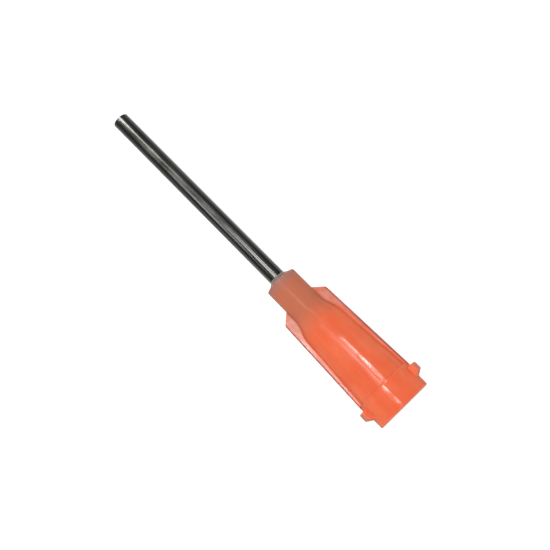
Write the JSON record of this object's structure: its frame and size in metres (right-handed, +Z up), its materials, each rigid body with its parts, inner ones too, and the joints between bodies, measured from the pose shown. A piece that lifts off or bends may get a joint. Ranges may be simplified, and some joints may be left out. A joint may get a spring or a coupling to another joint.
{
  "type": "luer-lock dispensing needle tip",
  "caption": "Blunt straight steel dispensing needle in a translucent orange plastic luer-lock hub with side wings and locking lugs.",
  "frame": {"origin": "centre of the hub's open mouth, where the luer socket starts", "axes": "+X along the needle towards its outlet; +Z up when the tip lies flat on a bench; +Y and -Y through the wings and the lock lugs"},
  "size_m": [0.0434, 0.0078, 0.0064],
  "materials": {
    "orange_polypropylene": "satin moulded, translucent",
    "stainless_steel": "drawn tube",
    "cured_adhesive": "clear, glossy"
  },
  "bodies": {
    "root": {"luer_hub": "orange_polypropylene", "cannula": "stainless_steel", "adhesive_bead": "cured_adhesive"}
  },
  "joints": []
}
